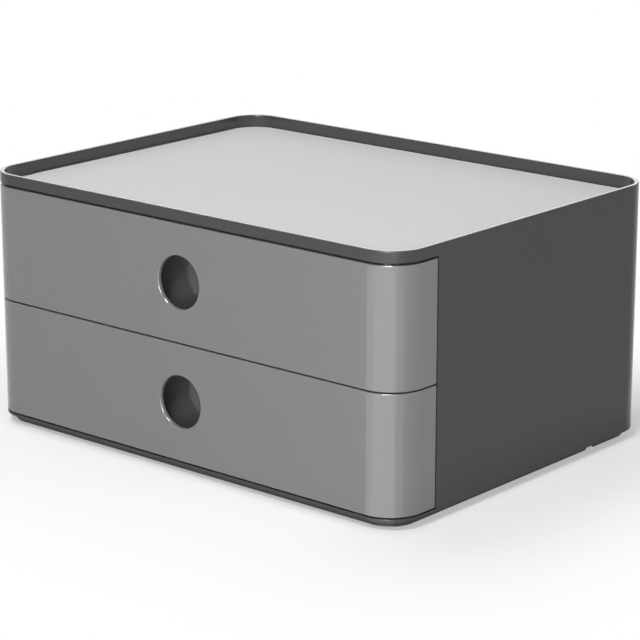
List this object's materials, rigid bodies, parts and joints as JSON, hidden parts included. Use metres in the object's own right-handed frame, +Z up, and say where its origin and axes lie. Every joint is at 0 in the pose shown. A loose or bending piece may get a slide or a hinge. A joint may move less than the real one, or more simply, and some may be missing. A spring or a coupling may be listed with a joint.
{
  "type": "desktop file drawer",
  "caption": "Low desktop box with stacked drawers whose fronts wrap round the corners, round finger holes, and a plate let into the rimmed top.",
  "frame": {"origin": "under the middle of the box, on the surface that the feet stand on", "axes": "+Z up, +X to the right along the drawer fronts, the fronts face -Y"},
  "size_m": [0.26, 0.195, 0.128],
  "materials": {
    "casing_plastic": "polished dark grey moulding",
    "front_plastic": "polished mid grey moulding",
    "tray_plastic": "polished dark grey moulding",
    "plate_plastic": "fine matt light grey",
    "runner_plastic": "smooth natural nylon",
    "block_plastic": "smooth black",
    "foot_rubber": "matt black",
    "screw_steel": "zinc plated"
  },
  "bodies": {
    "casing": {"casing_shell": "casing_plastic", "top_plate": "plate_plastic", "base_plate": "casing_plastic", "divider_shelf": "tray_plastic", "runner_upper_left": "runner_plastic", "runner_upper_right": "runner_plastic", "runner_lower_left": "runner_plastic", "runner_lower_right": "runner_plastic", "foot_front_left": "foot_rubber", "foot_front_right": "foot_rubber", "foot_rear_left": "foot_rubber", "foot_rear_right": "foot_rubber", "base_screws": "screw_steel"},
    "upper_drawer": {"upper_drawer_tray": "tray_plastic", "upper_drawer_front": "front_plastic", "upper_front_screws": "screw_steel", "upper_stop_block_left": "block_plastic", "upper_stop_block_right": "block_plastic"},
    "lower_drawer": {"lower_drawer_tray": "tray_plastic", "lower_drawer_front": "front_plastic", "lower_front_screws": "screw_steel", "lower_stop_block_left": "block_plastic", "lower_stop_block_right": "block_plastic"}
  },
  "joints": [
    {"name": "upper_drawer_slide", "type": "slide", "parent": "casing", "child": "upper_drawer", "axis": [0, -1, 0], "range_m": [0, 0.115]},
    {"name": "lower_drawer_slide", "type": "slide", "parent": "casing", "child": "lower_drawer", "axis": [0, -1, 0], "range_m": [0, 0.115]}
  ]
}
